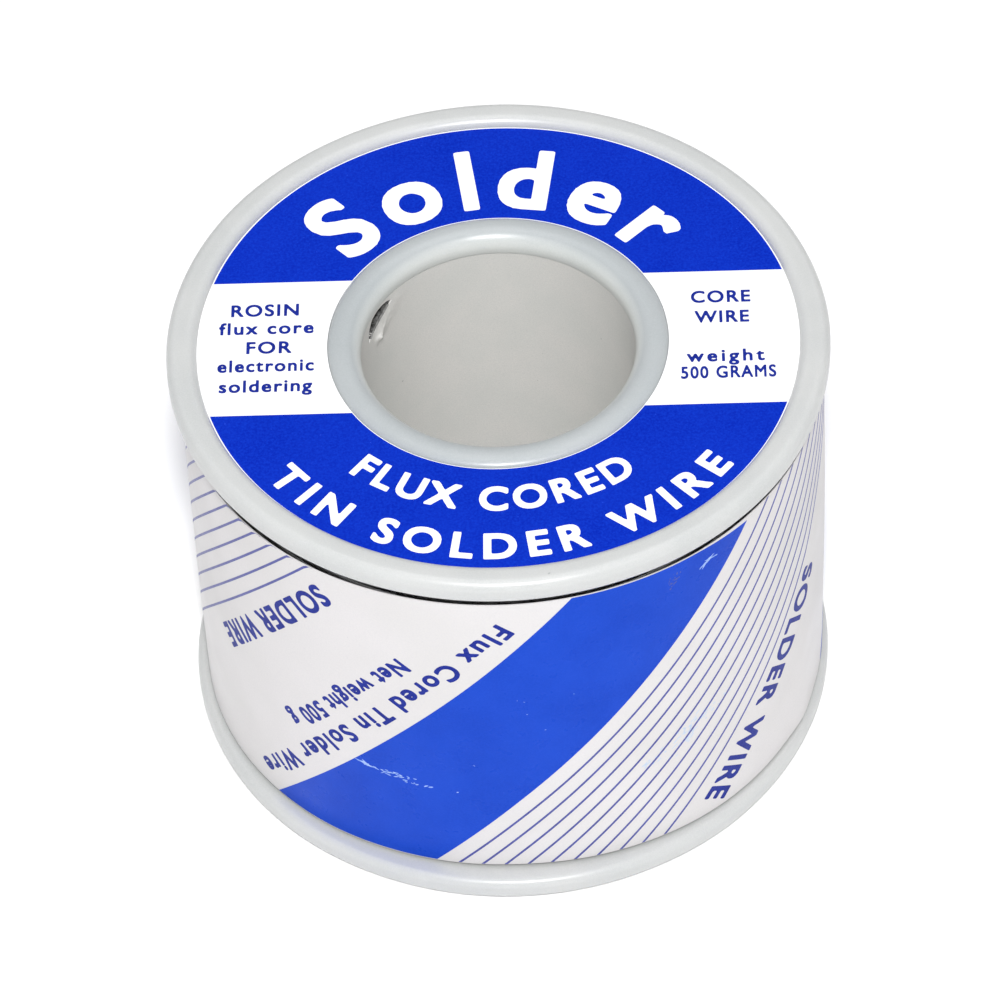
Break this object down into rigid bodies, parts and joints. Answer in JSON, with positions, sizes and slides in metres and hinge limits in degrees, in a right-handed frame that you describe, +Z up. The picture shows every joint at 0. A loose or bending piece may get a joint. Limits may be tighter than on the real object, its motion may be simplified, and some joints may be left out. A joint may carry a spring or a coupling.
{
  "type": "solder wire spool",
  "caption": "Round plastic spool of flux-cored solder wire, with a flange at each end, a paper label on each flange and a printed paper wrap round the wire.",
  "frame": {"origin": "centre of the ring on the lower flange that the spool stands on", "axes": "+Z up along the bore, from the lower flange to the upper flange; the white band of the upper label runs along X"},
  "size_m": [0.065, 0.065, 0.048],
  "materials": {
    "grey_plastic": "milky grey moulded plastic, soft gloss",
    "solder": "drawn tin alloy wire, satin",
    "flux": "amber rosin",
    "clear_film": "glossy adhesive film",
    "wrap_paper": "coated white paper printed in blue",
    "glue": "dried adhesive",
    "printed_paper": "coated paper printed in blue with a white band"
  },
  "bodies": {
    "spool": {"hub_tube": "grey_plastic", "lower_flange": "grey_plastic", "upper_flange": "grey_plastic", "solder_winding": "solder", "wire_start_tail": "solder", "wire_outer_end": "solder", "flux_core_start": "flux", "flux_core_end": "flux", "end_tape": "clear_film", "top_label": "printed_paper", "bottom_label": "printed_paper"},
    "wrap": {"wrap_label": "wrap_paper", "wrap_seam_adhesive": "glue"}
  },
  "joints": [
    {"name": "wrap_turn", "type": "hinge", "parent": "spool", "child": "wrap", "pos_m": [0, 0, 0.024], "axis": [0, 0, 1], "continuous": true}
  ]
}
